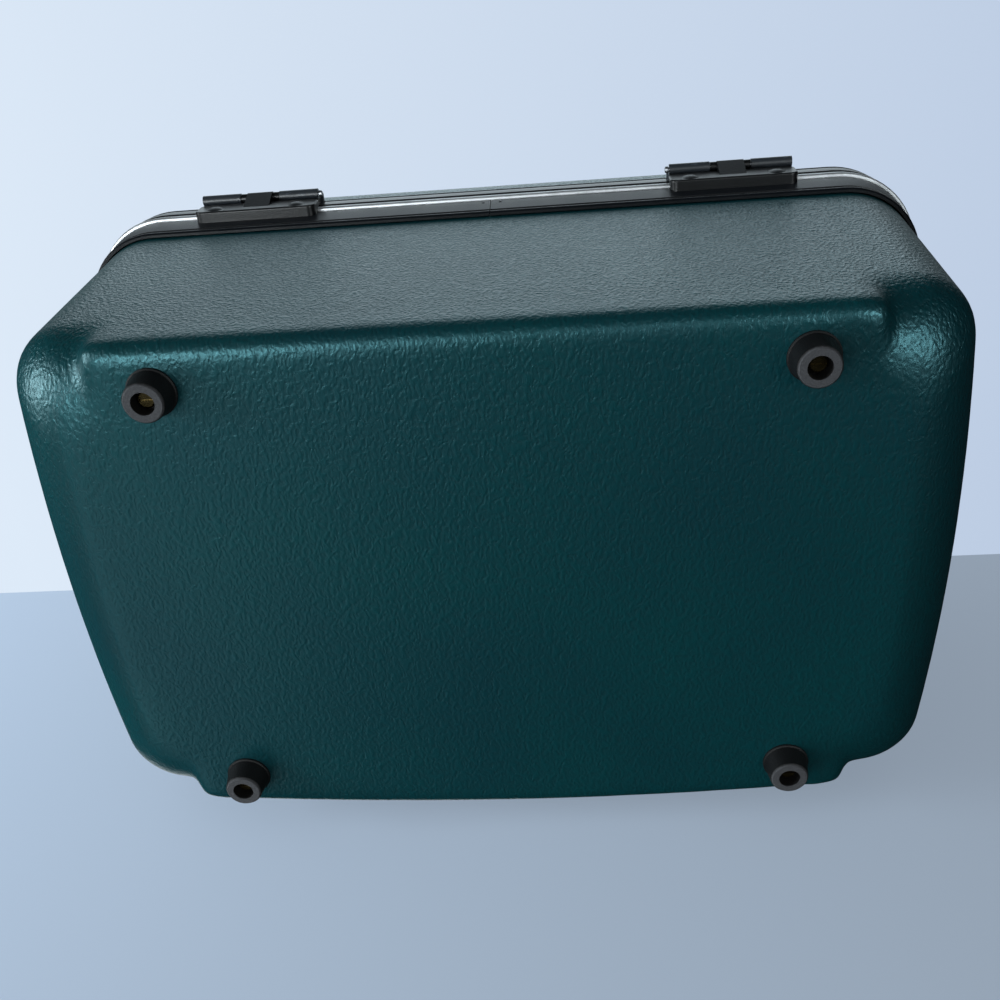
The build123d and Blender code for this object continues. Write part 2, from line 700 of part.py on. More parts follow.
def tray_rests():
    """Two padded ledges on the end walls that carry the tray."""
    inset = WALL + LINING_GAP + LINING + GLUE_GAP
    lift = LINING_FLOOR_Z + LINING - FLOOR_Z
    ledge = block(151.0, 180.0, -48, 48, 87.0, TRAY_LOW - 0.3)
    ledge = fillet(ledge.edges().filter_by(Axis.Y).sort_by(Axis.X)[:2], 2.5)
    ledge &= on_base(Pos(0, 0, lift) * rolled_body(BASE_DEPTH, BASE_HIGH, inset))
    return Compound([ledge, mirrored(ledge)])


def tray():
    """Lift-out tray with a lip, four wells and a finger hole in each end."""
    height = TRAY_HIGH - TRAY_LOW
    body = extrude(RectangleRounded(2 * TRAY_HALF_LENGTH, 2 * TRAY_HALF_DEPTH, TRAY_CORNER), height)
    lip = RectangleRounded(2 * TRAY_HALF_LENGTH + 6, 2 * TRAY_HALF_DEPTH + 6, TRAY_CORNER + 3)
    body += Pos(0, 0, height - 2) * extrude(lip, 2)
    inside = RectangleRounded(
        2 * (TRAY_HALF_LENGTH - TRAY_WALL), 2 * (TRAY_HALF_DEPTH - TRAY_WALL), TRAY_CORNER - TRAY_WALL
    )
    walls = Rectangle(TRAY_WALL, 400)
    inside -= Pos(-55, 0) * walls + Pos(55, 0) * walls + Rectangle(110, TRAY_WALL)
    body -= Pos(0, 0, TRAY_WALL) * extrude(inside, height)
    hole = extrude(SlotOverall(46, 13, rotation=90), 200, both=True)
    body -= Pos(0, 0, height - 14) * Rot(0, 90, 0) * hole
    return Pos(0, 0, TRAY_LOW) * body


def mirror_frame():
    """Thin frame that holds the mirror inside the lid."""
    high = TOP_Z - WALL - 2 * LINING_GAP - LINING
    outer = RectangleRounded(2 * MIRROR_HALF_LENGTH + 8, 2 * MIRROR_HALF_DEPTH + 8, 9)
    window = RectangleRounded(2 * MIRROR_HALF_LENGTH - 4, 2 * MIRROR_HALF_DEPTH - 4, 4)
    seat = RectangleRounded(2 * MIRROR_HALF_LENGTH + 0.4, 2 * MIRROR_HALF_DEPTH + 0.4, 5)
    frame = extrude(outer - window, MIRROR_THICK)
    frame -= Pos(0, 0, 1.0) * extrude(seat, MIRROR_THICK)
    return Pos(0, 0, high - MIRROR_THICK) * frame


def mirror_glass():
    high = TOP_Z - WALL - 2 * LINING_GAP - LINING
    plate = extrude(RectangleRounded(2 * MIRROR_HALF_LENGTH, 2 * MIRROR_HALF_DEPTH, 5), 1.8)
    return Pos(0, 0, high - MIRROR_THICK + 1.1) * plate


def save(shape, name):
    shape.label = name
    export_step(shape, "parts/" + name + ".step")


def save_pair(shape, name):
    """Save a right-hand piece and its mirror image as two nodes."""
    save(shape, name + "_right")
    save(mirrored(shape), name + "_left")


base_frame = frame_ring(base_frame_section())
metal_strip = frame_ring(strip_section())
lid_frame = frame_ring(lid_frame_section())
envelope = frame_envelope()

save_pair(base_leaf(envelope), "hinge_base_leaf")
save_pair(lid_leaf(envelope), "hinge_lid_leaf")
save_pair(hinge_pin(), "hinge_pin")
save(hinge_spacers(), "hinge_spacers")
save(hinge_rivets(LEAF_RIVET_Z, LEAF_RIVET_RADIUS), "hinge_base_rivets")
save(hinge_rivets(LID_RIVET_Z, LID_RIVET_RADIUS), "hinge_lid_rivets")

save_pair(latch_body(envelope), "latch_body")
save_pair(hasp(), "hasp")
save_pair(hasp_pin(), "hasp_pin")
save_pair(latch_button(), "latch_button")
save_pair(lock_cylinder(), "lock_cylinder")
save_pair(keeper(envelope), "keeper")
save(latch_rivets(), "latch_rivets")
save(keeper_rivets(), "keeper_rivets")

latch_holes = latch_rivet_holes(LOCK_Z, 26.0, RIVET_SHANK_RADIUS + 0.02)
keeper_holes = latch_rivet_holes(156.6, 10.8, 1.02)
save(base_shell() - latch_holes, "base_shell")
save(lid_shell() - rivet_holes(LID_RIVET_Z) - keeper_holes, "lid_shell")
save(butt_seam(base_frame) - rivet_holes(LEAF_RIVET_Z) - latch_holes, "base_frame")
save(metal_strip, "metal_strip")
save(lid_frame - rivet_holes(LID_RIVET_Z) - keeper_holes, "lid_frame")
save(base_lining(), "base_lining")
save(lid_lining(), "lid_lining")

for x, y in FOOT_PLACES:
    place = ("front" if y < 0 else "rear") + ("_left" if x < 0 else "_right")
    save(foot(x, y), "foot_" + place)
save(foot_screws(), "foot_screws")
save(foot_nuts(), "foot_nuts")

save(handle(), "handle")
save_pair(handle_post(), "handle_post")
save_pair(handle_pin(), "handle_pin")
save(handle_screws(), "handle_screws")

save(tray_rests(), "tray_rests")
save(tray(), "tray")
save(mirror_frame(), "mirror_frame")
save(mirror_glass(), "mirror_glass")
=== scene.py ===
# %% [markdown]
# A hard-shell train case: a dark teal moulded body with a bright strip round its opening, black
# hinges and latches, four rubber feet, and inside it a lining, a tray and a lid mirror.
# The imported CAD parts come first, as a frame that never moves. Each of them keeps its place and
# gets a finish, and the two shells are replaced by copies of the same size with softer edges.
# Blender counts in metres, so sizes of a few millimetres are written as a number times MM.

# %% Load the frame
import math
import bpy
from mathutils import Matrix, Vector


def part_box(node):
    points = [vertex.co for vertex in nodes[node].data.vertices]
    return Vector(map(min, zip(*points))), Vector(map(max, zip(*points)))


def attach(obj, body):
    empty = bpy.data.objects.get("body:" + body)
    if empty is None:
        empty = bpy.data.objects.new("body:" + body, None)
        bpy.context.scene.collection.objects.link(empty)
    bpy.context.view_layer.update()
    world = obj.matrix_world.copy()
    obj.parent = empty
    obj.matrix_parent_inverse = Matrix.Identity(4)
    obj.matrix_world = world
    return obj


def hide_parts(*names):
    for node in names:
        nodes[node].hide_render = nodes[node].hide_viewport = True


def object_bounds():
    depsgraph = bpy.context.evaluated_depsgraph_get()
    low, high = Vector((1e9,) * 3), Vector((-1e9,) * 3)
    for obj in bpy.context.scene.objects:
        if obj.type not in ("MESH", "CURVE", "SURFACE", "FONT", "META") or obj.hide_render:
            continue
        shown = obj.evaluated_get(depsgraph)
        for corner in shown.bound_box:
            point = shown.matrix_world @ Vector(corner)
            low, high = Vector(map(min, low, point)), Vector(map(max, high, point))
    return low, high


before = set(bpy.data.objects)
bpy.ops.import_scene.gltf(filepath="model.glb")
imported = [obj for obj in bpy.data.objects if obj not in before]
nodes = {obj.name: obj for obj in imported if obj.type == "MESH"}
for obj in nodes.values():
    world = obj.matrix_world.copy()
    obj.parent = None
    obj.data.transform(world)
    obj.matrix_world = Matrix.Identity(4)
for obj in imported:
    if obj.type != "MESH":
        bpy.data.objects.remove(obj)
cad_low, cad_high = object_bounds()
bpy.ops.object.select_all(action="DESELECT")
MM = 0.001
print("case", [round((b - a) / MM, 1) for a, b in zip(cad_low, cad_high)], "mm")

# %% [markdown]
# The camera stands behind the case and below its bottom, because the case lies on its front for
# this picture. Three angles could turn it, but three unit vectors are easier to check against a
# picture: right and up lie in the picture, and back points at the viewer. The small shifts slide
# the frame over the view and leave the perspective alone.

# %% Place the camera
CAMERA_PLACE = Vector((-34.1, 221.8, -323.6)) * MM
CAMERA_BACK = Vector((-0.0813, 0.5001, -0.8622)).normalized()
CAMERA_UP_HINT = Vector((-0.0425, 0.8625, 0.5043))
CAMERA_LENS = 39.35
SENSOR_WIDTH = 36.0
NEAREST_SEEN = 10 * MM
SHIFT_ACROSS = 0.0031
SHIFT_UP = 0.0282

camera_right = CAMERA_UP_HINT.cross(CAMERA_BACK).normalized()
camera_up = CAMERA_BACK.cross(camera_right)
bpy.ops.object.camera_add()
camera = bpy.context.object
camera.name = "photo_camera"
camera.matrix_world = Matrix.Translation(CAMERA_PLACE) @ Matrix(
    (camera_right, camera_up, CAMERA_BACK)).transposed().to_4x4()
camera.data.lens = CAMERA_LENS
camera.data.sensor_width = SENSOR_WIDTH
camera.data.clip_start = NEAREST_SEEN
camera.data.shift_x = SHIFT_ACROSS
camera.data.shift_y = SHIFT_UP
camera.data.dof.use_dof = False
scene = bpy.context.scene
scene.camera = camera
scene.view_settings.view_transform = "Standard"
print("camera", round(CAMERA_PLACE.length / MM), "mm from the middle of the footprint")

# %% [markdown]
# Procedural materials are sums and products of patterns, and a node graph for them is long to
# write by hand. It could be clicked together in the shader editor, but then nobody can read why a
# number is what it is. Here a small class wraps a socket, so that a plus sign adds a Math node.
# The recipes further down then read like formulas.


# %% Sums and products of sockets
class Wire:
    """An output socket that arithmetic can be done on."""

    def __init__(self, shader, socket):
        self.shader = shader
        self.socket = socket

    def maths(self, operation, first, second):
        return self.shader.node("ShaderNodeMath", {"operation": operation}, {0: first, 1: second})

    def __add__(self, other):
        return self.maths("ADD", self, other)

    def __radd__(self, other):
        return self.maths("ADD", other, self)

    def __sub__(self, other):
        return self.maths("SUBTRACT", self, other)

    def __rsub__(self, other):
        return self.maths("SUBTRACT", other, self)

    def __mul__(self, other):
        return self.maths("MULTIPLY", self, other)

    def __rmul__(self, other):
        return self.maths("MULTIPLY", other, self)


# %% [markdown]
# One more class holds a node tree. Its method node() makes any node, with its settings first and
# then the values or links of its sockets. The methods after it are the few patterns that all
# finishes of the case are made of: soft noise, pebbles, a ramp, a blend of two colours and a bump.


# %% A node tree with a few patterns
class Shader:
    """A node tree with one method that makes any node in it."""

    def __init__(self, owner):
        owner.use_nodes = True
        self.owner = owner
        self.tree = owner.node_tree
        self.tree.nodes.clear()

    def node(self, kind, settings=None, inputs=None, output=0):
        made = self.tree.nodes.new(kind)
        for name, value in (settings or {}).items():
            if name == "stops":
                self.set_stops(made.color_ramp.elements, value)
            else:
                setattr(made, name, value)
        for name, value in (inputs or {}).items():
            if isinstance(value, Wire):
                self.tree.links.new(value.socket, made.inputs[name])
            else:
                made.inputs[name].default_value = value
        return Wire(self, made.outputs[output]) if made.outputs else None

    def set_stops(self, ramp, stops):
        """Gives a ramp its stops, each a place and a number or a colour."""
        while len(ramp) < len(stops):
            ramp.new(0.5)
        for stop, (place, value) in zip(ramp, stops):
            stop.position = place
            stop.color = value if hasattr(value, "__len__") else (value, value, value, 1)

    def places(self, stretch=(1, 1, 1), turn=(0, 0, 0)):
        """Places on the object in metres, stretched and turned."""
        raw = self.node("ShaderNodeTexCoord", output="Object")
        return self.node("ShaderNodeMapping", None, {0: raw, "Scale": stretch, "Rotation": turn})

    def along(self, direction, coordinates="Object"):
        """How far a place on the object, or a ray into the world, goes in one direction."""
        raw = self.node("ShaderNodeTexCoord", output=coordinates)
        return self.node("ShaderNodeVectorMath", {"operation": "DOT_PRODUCT"}, {
            0: raw, 1: direction}, output="Value")

    def noise(self, size, detail=3.0, rough=0.5, warp=0.0, places=None, output=0):
        """Soft blotches about that many metres across, from 0 to 1."""
        return self.node("ShaderNodeTexNoise", {"noise_dimensions": "3D"}, {
            "Vector": places or self.places(), "Scale": 1 / size, "Detail": detail,
            "Roughness": rough, "Distortion": warp}, output)

    def pebbles(self, size, places):
        """Round pebbles about that many metres across."""
        return self.node("ShaderNodeTexVoronoi", {"feature": "SMOOTH_F1"}, {
            "Vector": places, "Scale": 1 / size}, output="Distance")

    def ramp(self, value, *stops):
        """Numbers or colours picked along a scale."""
        return self.node("ShaderNodeValToRGB", {"stops": stops}, {0: value})

    def blend(self, share, first, second):
        """A colour between two others."""
        return self.node("ShaderNodeMix", {"data_type": "RGBA"}, {
            "Factor": share, 6: first, 7: second}, output=2)

    def bump(self, height, depth):
        """Turns heights from 0 to 1 into dents that many metres deep."""
        return self.node("ShaderNodeBump", None, {
            "Height": height, "Distance": depth, "Strength": 1.0})

    def surface(self, **inputs):
        """The finished surface of a material."""
        named = {name.replace("_", " "): value for name, value in inputs.items()}
        made = self.node("ShaderNodeBsdfPrincipled", None, named)
        self.node("ShaderNodeOutputMaterial", None, {"Surface": made})
        return self.owner


def new_shader(name):
    return Shader(bpy.data.materials.new(name))


# %% [markdown]
# Blender mixes light, and a screen shows it on a curve, so the colour that is picked from a screen
# and the colour that a shader needs differ. One function turns the first into the second, and
# another makes a lighter or darker tone of a colour, which most finishes need for wear and dirt.


# %% Colours
def colour(red, green, blue):
    """A colour written as it looks on a screen, 0 to 255, as the light it stands for."""
    def linear(part):
        part = part / 255
        return part / 12.92 if part <= 0.04045 else ((part + 0.055) / 1.055) ** 2.4
    return (linear(red), linear(green), linear(blue), 1.0)


def toned(tint, share, lift=0.0):
    """The same colour made darker or lighter by a share, and lifted towards white."""
    return tuple(part * share + lift for part in tint[:3]) + (1,)


print("a middle grey on the screen is", round(colour(128, 128, 128)[0], 2), "of white as light")

# %% [markdown]
# The world lights matt surfaces dimly from all round, and more from the left of the picture, where
# the daylight comes from. A ray straight from the camera sees a pale backdrop instead, so the
# picture has a light background without more light falling on the case.
# A ray that bounces off something glossy sees a dark room with one pale side beyond the lid,
# because a black or dark green moulding shows its shape mostly by what it mirrors. A picture of a
# real room would do this too, but a ramp along one direction is easier to change.

# %% Light the room
BACKDROP = colour(207, 219, 238)
ROOM_TINT = (0.92, 0.98, 1.02, 1)
WALL_SHEEN = colour(207, 221, 229)
WALL_BRIGHTNESS = 2.25
BEYOND_LID = Vector((0.05, 0.24, 0.97)).normalized()
WINDOW_SIDE = Vector((0.85, 0.25, -0.45)).normalized()
MATT_STOPS = ((0.0, 0.14), (0.5, 0.34), (1.0, 0.95))
MIRRORED_STOPS = ((0.86, 0.004), (0.94, 0.22), (0.975, 0.95), (1.0, 1.0))
world = bpy.data.worlds.new("pale_room")
scene.world = world
room = Shader(world)


def room_glow(towards, stops):
    """Brightness of the room by how near a ray's way is to one direction, 0 behind to 1 ahead."""
    return room.ramp(room.along(towards, "Generated") * 0.5 + 0.5, *stops)


def room_light(tint, brightness):
    return room.node("ShaderNodeBackground", None, {"Color": tint, "Strength": brightness})


matt_light = room_light(ROOM_TINT, room_glow(WINDOW_SIDE, MATT_STOPS))
mirrored_light = room_light(WALL_SHEEN, room_glow(BEYOND_LID, MIRRORED_STOPS) * WALL_BRIGHTNESS)
backdrop = room_light(BACKDROP, 1.0)
seen = room.node("ShaderNodeLightPath", output="Is Camera Ray")
glossy = room.node("ShaderNodeLightPath", output="Is Glossy Ray")
clear = room.node("ShaderNodeLightPath", output="Is Transmission Ray")
straight = room.node("ShaderNodeMath", {"operation": "MAXIMUM"}, {0: seen, 1: clear})
bounced = room.node("ShaderNodeMixShader", None, {0: glossy, 1: matt_light, 2: mirrored_light})
whole = room.node("ShaderNodeMixShader", None, {0: straight, 1: bounced, 2: backdrop})
room.node("ShaderNodeOutputWorld", None, {"Surface": whole})
print("room of", len(room.tree.nodes), "nodes")

# %% [markdown]
# Soft lamps shape the case. The first four stand like the windows of a room round the camera: the
# ball corners, the crisp floor edge and the left end mirror them, and only the left one lights
# matt surfaces too. Two stand for the bright ground at the left: one is its sheen on the bottom,
# the other is the light that it throws on matt surfaces, so that the case darkens to the right.
# The last lights the front, which this camera doesn't see. One bright lamp would be simpler, but a
# glossy shell shows every lamp as a spot of its shape, so each highlight has a lamp of its own.

# %% Hang the lamps
CASE_MIDDLE = Vector((0, 0, 105)) * MM
DAYLIGHT = (0.90, 0.97, 1.0)
LAMPS = (
    # name, direction from the case, distance, size, brightness of its face, what it lights
    ("window_left", (0.93, 0.235, -0.30), 1.4, 0.46, 19.0, "both"),
    ("window_near", (0.43, 0.18, -0.88), 1.4, 0.40, 24.0, "gloss"),
    ("window_middle", (0.00, 0.38, -0.92), 1.4, 0.36, 3.0, "gloss"),
    ("window_right", (-0.60, 0.31, -0.74), 1.4, 0.44, 17.0, "gloss"),
    ("ground_sheen", (0.56, -0.50, -0.66), 1.3, 0.60, 0.8, "gloss"),
    ("ground_bounce", (0.75, -0.32, -0.58), 0.75, 0.45, 3.2, "matt"),
    ("front_fill", (0.35, -0.80, 0.50), 1.6, 1.0, 1.5, "both"),
)


def soft_lamp(name, direction, distance, size, strength, lights):
    """A square soft lamp. Its strength is the brightness of its face."""
    direction = Vector(direction).normalized()
    bpy.ops.object.light_add(type="AREA", location=CASE_MIDDLE + direction * distance)
    lamp = bpy.context.object
    lamp.name = name
    lamp.rotation_euler = direction.to_track_quat("Z", "Y").to_euler()
    lamp.data.size = size
    lamp.data.energy = strength * math.pi * size * size
    lamp.data.color = DAYLIGHT
    lamp.visible_diffuse = lights != "gloss"
    lamp.visible_glossy = lights != "matt"


for lamp_settings in LAMPS:
    soft_lamp(*lamp_settings)
print(len(LAMPS), "lamps")

# %% [markdown]
# Three pale sheets lie round the case, and each may hide it from some side. So their finish shows
# only from its own side: seen from behind it is transparent. What the camera sees of a sheet is
# partly its colour, as a glow, and partly the light on it, which keeps it pale without brighter
# lamps. On the ground and the wall the colour holds painted light: it goes from a painted shaded
# tone on the right to a lighter one on the left, where the daylight comes from. Faint clouds keep
# it from looking like paper.


# %% Finish of the pale sheets
DIM_CLOUD = colour(170, 184, 208)
CLOUD_SIZE = 0.35
CLOUD_SHARE = 0.06


def one_sided(name, near, far, along, lit):
    """A pale finish that may go from a painted shaded tone to a lighter one along a way, and
    vanishes from behind.
    """
    shader = new_shader(name)
    # Painted light: the tone changes along the way as if light fell off across the sheet.
    paint = shader.blend(shader.along(along) + 0.5, near, far)
    paint = shader.blend(shader.noise(CLOUD_SIZE, detail=2.0) * CLOUD_SHARE, paint, DIM_CLOUD)
    matt = shader.node("ShaderNodeBsdfDiffuse", None, {"Color": paint})
    glow = shader.node("ShaderNodeEmission", None, {"Color": paint, "Strength": 1.0})
    seen_straight = shader.node("ShaderNodeLightPath", output="Is Camera Ray")
    surface = shader.node("ShaderNodeMixShader", None, {0: seen_straight * lit, 1: matt, 2: glow})
    gone = shader.node("ShaderNodeBsdfTransparent")
    behind = shader.node("ShaderNodeNewGeometry", output="Backfacing")
    surface = shader.node("ShaderNodeMixShader", None, {0: behind, 1: surface, 2: gone})
    shader.node("ShaderNodeOutputMaterial", None, {"Surface": surface})
    return shader.owner


# %% [markdown]
# The case stands on a pale floor at height zero. For the picture it lies on its front, so a
# second sheet touches its front side, and a third stands beyond its lid like a wall. One backdrop
# curved round the case would be the studio way, but the three flat ones can each face their own
# way. They cast no shadow and aren't mirrored, so that they don't darken the case from elsewhere.


# %% Lay the pale sheets
FLOOR_TONE = colour(205, 216, 234)
# Painted light: ground and wall are darker on the right, lighter towards the daylight on the left.
GROUND_PAINTED_SHADE = colour(156, 168, 182)
GROUND_PAINTED_LIGHT = colour(194, 214, 238)
WALL_PAINTED_SHADE = colour(187, 203, 226)
WALL_PAINTED_LIGHT = colour(223, 236, 250)
FLOOR_SIZE = 8.0
GROUND_SIZE = 1.6
WALL_SIZE = 3.0
GROUND_GAP = 0.4 * MM
WALL_GAP = 1.0 * MM


def pale_sheet(name, middle, facing, size, finish):
    bpy.ops.mesh.primitive_plane_add(size=size)
    sheet = bpy.context.object
    sheet.name = name
    sheet.data.transform(Vector(facing).to_track_quat("Z", "Y").to_matrix().to_4x4())
    sheet.data.transform(Matrix.Translation(middle))
    sheet.data.materials.append(finish)
    sheet.visible_shadow = False
    sheet.visible_diffuse = False
    sheet.visible_glossy = False
    print(name, size, "m wide")


floor_finish = one_sided("floor_finish", FLOOR_TONE, FLOOR_TONE, along=(0, 0, 0), lit=0.6)
ground_finish = one_sided(
    "ground_finish", GROUND_PAINTED_SHADE, GROUND_PAINTED_LIGHT, along=(1.2, 0, 0.6), lit=0.55)
wall_finish = one_sided("wall_finish", WALL_PAINTED_SHADE, WALL_PAINTED_LIGHT, along=(1.7, 0, 0), lit=1.0)
ground_middle = (0, cad_low.y - GROUND_GAP, 0)
wall_middle = (0, 0, cad_high.z + WALL_GAP)
pale_sheet("floor", (0, 0, 0), (0, 0, 1), FLOOR_SIZE, floor_finish)
pale_sheet("ground_under_front", ground_middle, (0, 1, 0), GROUND_SIZE, ground_finish)
pale_sheet("wall_beyond_lid", wall_middle, (0, 0, -1), WALL_SIZE, wall_finish)

# %% [markdown]
# The shell is moulded plastic with a leather grain: short curved wrinkles about a millimetre
# apart. A photograph of leather could be wrapped round it, but it would smear on the ball corners.
# A pattern in three dimensions has no seams, so pebbles that are stretched and bent by a slow
# noise give the wrinkles, and finer noise breaks them up. The colour shifts a little from place to
# place, as it does in an old moulding. The valleys are darker and duller than the rubbed tops.
# The grain is shallower on the flat bottom than on the walls.
# The gloss of the shell is cool and greenish, which is a tint of the shader's own reflection.

# %% Finish: grained teal shell
TEAL = colour(2, 56, 60)
DEEP_TEAL = colour(1, 48, 55)
RUBBED_SPECK = (0.5, 0.55, 0.55, 1)
COOL_SHEEN = (0.36, 0.86, 0.96, 1)
PLASTIC_IOR = 1.5
DRIFT_SIZE = 90 * MM
BEND_SIZE = 4.5 * MM
BEND_REACH = 2.4 * MM
PEBBLE_SIZE = 1.2 * MM
WRINKLE_SIZE = 0.9 * MM
FINE_SIZE = 0.5 * MM
SPECK_SIZE = 5 * MM
GRAIN_DEPTH = 0.52 * MM
UPWARD = (0, 0, 1)
BOTTOM_GRAIN = ((0.11, 0.45), (0.32, 1))
SHELL_ROUGHNESS = 0.37


def leather_height(shader):
    """The wrinkles of a leather grain as heights from about 0 to 1."""
    bend = shader.noise(BEND_SIZE, detail=1.0, output="Color")
    bent = shader.node("ShaderNodeVectorMath", {"operation": "MULTIPLY_ADD"}, {
        0: bend, 1: (BEND_REACH, BEND_REACH, BEND_REACH),
        2: shader.places(stretch=(1.0, 0.6, 1.0), turn=(0.5, 0.3, 0.5))})
    pebbles = shader.pebbles(PEBBLE_SIZE, bent)
    wrinkles = shader.noise(WRINKLE_SIZE, detail=2.0, warp=0.6, places=bent)
    fine = shader.noise(FINE_SIZE, detail=1.0)
    return pebbles * 0.75 + wrinkles * 0.45 + fine * 0.06


def grained_shell(name, body_colour, low_colour):
    shader = new_shader(name)
    height = leather_height(shader)
    top = shader.ramp(height, (0.35, 0), (0.75, 1))
    drift = shader.noise(DRIFT_SIZE)
    tint = shader.blend(shader.ramp(drift, (0.35, 0), (0.7, 1)), body_colour, low_colour)
    # The valleys of the grain are made darker.
    tint = shader.blend((1 - top) * 0.45, tint, toned(low_colour, 0.55))
    specks = shader.ramp(shader.noise(SPECK_SIZE, detail=1.0), (0.82, 0), (0.84, 1))
    tint = shader.blend(specks * 0.04, tint, RUBBED_SPECK)
    # The ramp reads heights over the ground in tenths of a metre: 11 mm is still on the bottom.
    depth_share = shader.ramp(shader.along(UPWARD) * 10, *BOTTOM_GRAIN)
    return shader.surface(
        Base_Color=tint, Roughness=SHELL_ROUGHNESS + drift * 0.08 - top * 0.08,
        Normal=shader.bump(height * depth_share, GRAIN_DEPTH), IOR=PLASTIC_IOR,
        Specular_Tint=COOL_SHEEN)


shell_finish = grained_shell("teal_grained_shell", TEAL, DEEP_TEAL)
print(shell_finish.name, "of", len(shell_finish.node_tree.nodes), "nodes")

# %% [markdown]
# The trim, the hinges and the latches are black: the trim is a satin moulding, the hinges are
# painted steel. One recipe makes them all: soft clouds of a lighter tone, scuffed patches that are
# greyer and glossier, and a fine grit in the surface. A flat black would look like a hole in the
# picture, because real black things are seen by their scuffs and their gloss.


# %% Finishes: black trim, hinges and handle
CLOUDED_SIZE = 20 * MM
SCUFF_SIZE = 12 * MM
GRIT_DEPTH = 0.05 * MM


def rubbed_coat(name, tint, rough, grit_size, wear, shine=0.5):
    """A moulded or painted finish. More wear gives more scuffed patches."""
    shader = new_shader(name)
    clouds = shader.noise(CLOUDED_SIZE, detail=4.0, rough=0.6)
    grit = shader.noise(grit_size, detail=2.0)
    long_places = shader.places(stretch=(1, 2.5, 2.5))
    scuffs = shader.noise(SCUFF_SIZE, detail=6.0, rough=0.7, warp=0.5, places=long_places)
    worn = shader.ramp(scuffs, (0.74 - wear, 0), (0.80 - wear, 1))
    paint = shader.blend(clouds * 0.5, tint, toned(tint, 1.5))
    paint = shader.blend(worn * 0.5, paint, toned(tint, 3.0, 0.02))
    return shader.surface(
        Base_Color=paint, Roughness=rough + clouds * 0.12 - worn * 0.08,
        Normal=shader.bump(grit, GRIT_DEPTH), Specular_IOR_Level=shine)


trim_finish = rubbed_coat(
    "satin_black_trim", colour(12, 16, 21), rough=0.30, grit_size=0.6 * MM, wear=0.05, shine=0.2)
hinge_finish = rubbed_coat(
    "painted_hinge_steel", colour(10, 13, 16),
    rough=0.30, grit_size=0.8 * MM, wear=0.06, shine=0.35)
lid_leaf_finish = rubbed_coat(
    "painted_lid_leaf", colour(40, 46, 52), rough=0.32, grit_size=0.8 * MM, wear=0.14)
handle_finish = rubbed_coat(
    "handle_plastic", colour(16, 18, 20), rough=0.42, grit_size=1.1 * MM, wear=0.04)
print("black:", trim_finish.name, hinge_finish.name, lid_leaf_finish.name, handle_finish.name)

# %% [markdown]
# The strip, the latches' moving parts and the screws are bare metal: polished, then brushed by
# years of cleaning, with dull patches where the metal has tarnished. Metal has no colour below
# its reflections, so most of its detail is in how rough it is from place to place.


# %% Finishes: bright metals
BRUSHING_SIZE = 1.2 * MM
BRUSHING_DEPTH = 0.01 * MM
TARNISH_SIZE = 12 * MM


def bare_metal(name, tint, rough, stretch=(1, 1, 1)):
    """Metal with fine brushing, which the stretch can draw out along one way, and tarnish."""
    shader = new_shader(name)
    brushed = shader.noise(BRUSHING_SIZE, rough=0.6, places=shader.places(stretch))
    tarnish = shader.noise(TARNISH_SIZE, detail=4.0, rough=0.6)
    paint = shader.blend(shader.ramp(tarnish, (0.5, 0), (0.75, 1)), tint, toned(tint, 0.55))
    return shader.surface(
        Base_Color=paint, Metallic=1.0, Roughness=rough + brushed * 0.15 + tarnish * 0.08,
        Normal=shader.bump(brushed, BRUSHING_DEPTH))


strip_finish = bare_metal("bright_strip", colour(240, 243, 246), rough=0.34, stretch=(0.05, 1, 1))
# Painted shade: the foot screws sit deep in the bores, so their brass is given a dark tone.
shaded_brass_finish = bare_metal("brass_screws_painted_shade", colour(84, 74, 48), rough=0.14)
steel_finish = bare_metal("plated_steel", colour(176, 180, 186), rough=0.26)
print("metal:", strip_finish.name, shaded_brass_finish.name, steel_finish.name)

# %% [markdown]
# The feet are black rubber, and the ends that they stand on are scuffed grey. Paint on a face of
# its own could show that, but its edge would be a hard line. A ramp on the height over the ground,
# broken up by noise, gives the ragged edge of real wear.

# %% Finish: rubber feet
RUBBER_BLACKS = (colour(3, 4, 7), colour(10, 11, 14))
SCUFF_GREYS = (colour(40, 42, 46), colour(78, 79, 82))
RUBBER_GRIT = 0.7 * MM
RUBBER_GRIT_DEPTH = 0.12 * MM
SCUFF_RAGS = 1.2 * MM


def foot_rubber(name):
    """Black rubber, scuffed grey on the end that stands on the ground."""
    shader = new_shader(name)
    height_in_mm = shader.along(UPWARD) * 1000
    ragged_height = height_in_mm + shader.noise(SCUFF_RAGS) * 0.5
    scuffed = shader.ramp(ragged_height, (0.45, 1), (0.95, 0))
    grit = shader.noise(RUBBER_GRIT, rough=0.6)
    black = shader.blend(grit * 0.4, *RUBBER_BLACKS)
    paint = shader.blend(scuffed, black, shader.blend(grit, *SCUFF_GREYS))
    return shader.surface(
        Base_Color=paint, Roughness=0.62 + scuffed * 0.2,
        Normal=shader.bump(grit, RUBBER_GRIT_DEPTH), Specular_IOR_Level=0.22)


rubber_finish = foot_rubber("foot_rubber")
print("rubber:", rubber_finish.name)

# %% [markdown]
# Inside, the linings are thin stiff liners with a pale flocked face, glued to the walls. The fibres
# are too many to model, so fine noise in colour and bump stands for them, and Sheen gives the soft
# light edge of flock. The tray is a lighter moulded plastic with the recipe of the trim, and the
# mirror is silvered glass with faint smears, because nobody sees a perfectly clean mirror.

# %% Finishes: inside
FIBRE_SIZE = 0.7 * MM
FIBRE_DEPTH = 0.12 * MM
NAP_SIZE = 30 * MM
SMEAR_SIZE = 40 * MM
SMEAR_DEPTH = 0.002 * MM


